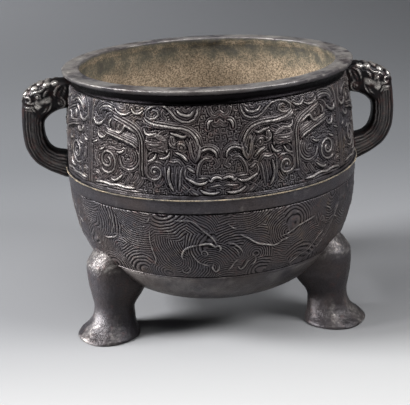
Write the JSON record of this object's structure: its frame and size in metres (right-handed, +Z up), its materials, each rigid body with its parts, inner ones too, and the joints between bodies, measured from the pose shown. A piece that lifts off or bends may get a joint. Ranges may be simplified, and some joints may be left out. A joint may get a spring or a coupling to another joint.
{
  "type": "bronze ding vessel",
  "caption": "Round bronze cauldron with a flat lip, beast-headed loop handles, mask relief on the wall and flared cabriole feet, open at the top.",
  "frame": {"origin": "middle of the object's own footprint box, on the plane that its feet stand on; the bowl's axis is 5.6 mm towards -Y of it", "axes": "+Z up through the open mouth, -Y towards the front mask, the handles along X, the third leg at +Y"},
  "size_m": [0.286, 0.2372, 0.198],
  "materials": {
    "bronze": "dark brown patina, worn brighter on the raised edges"
  },
  "bodies": {
    "root": {"ding_vessel": "bronze"}
  },
  "joints": []
}
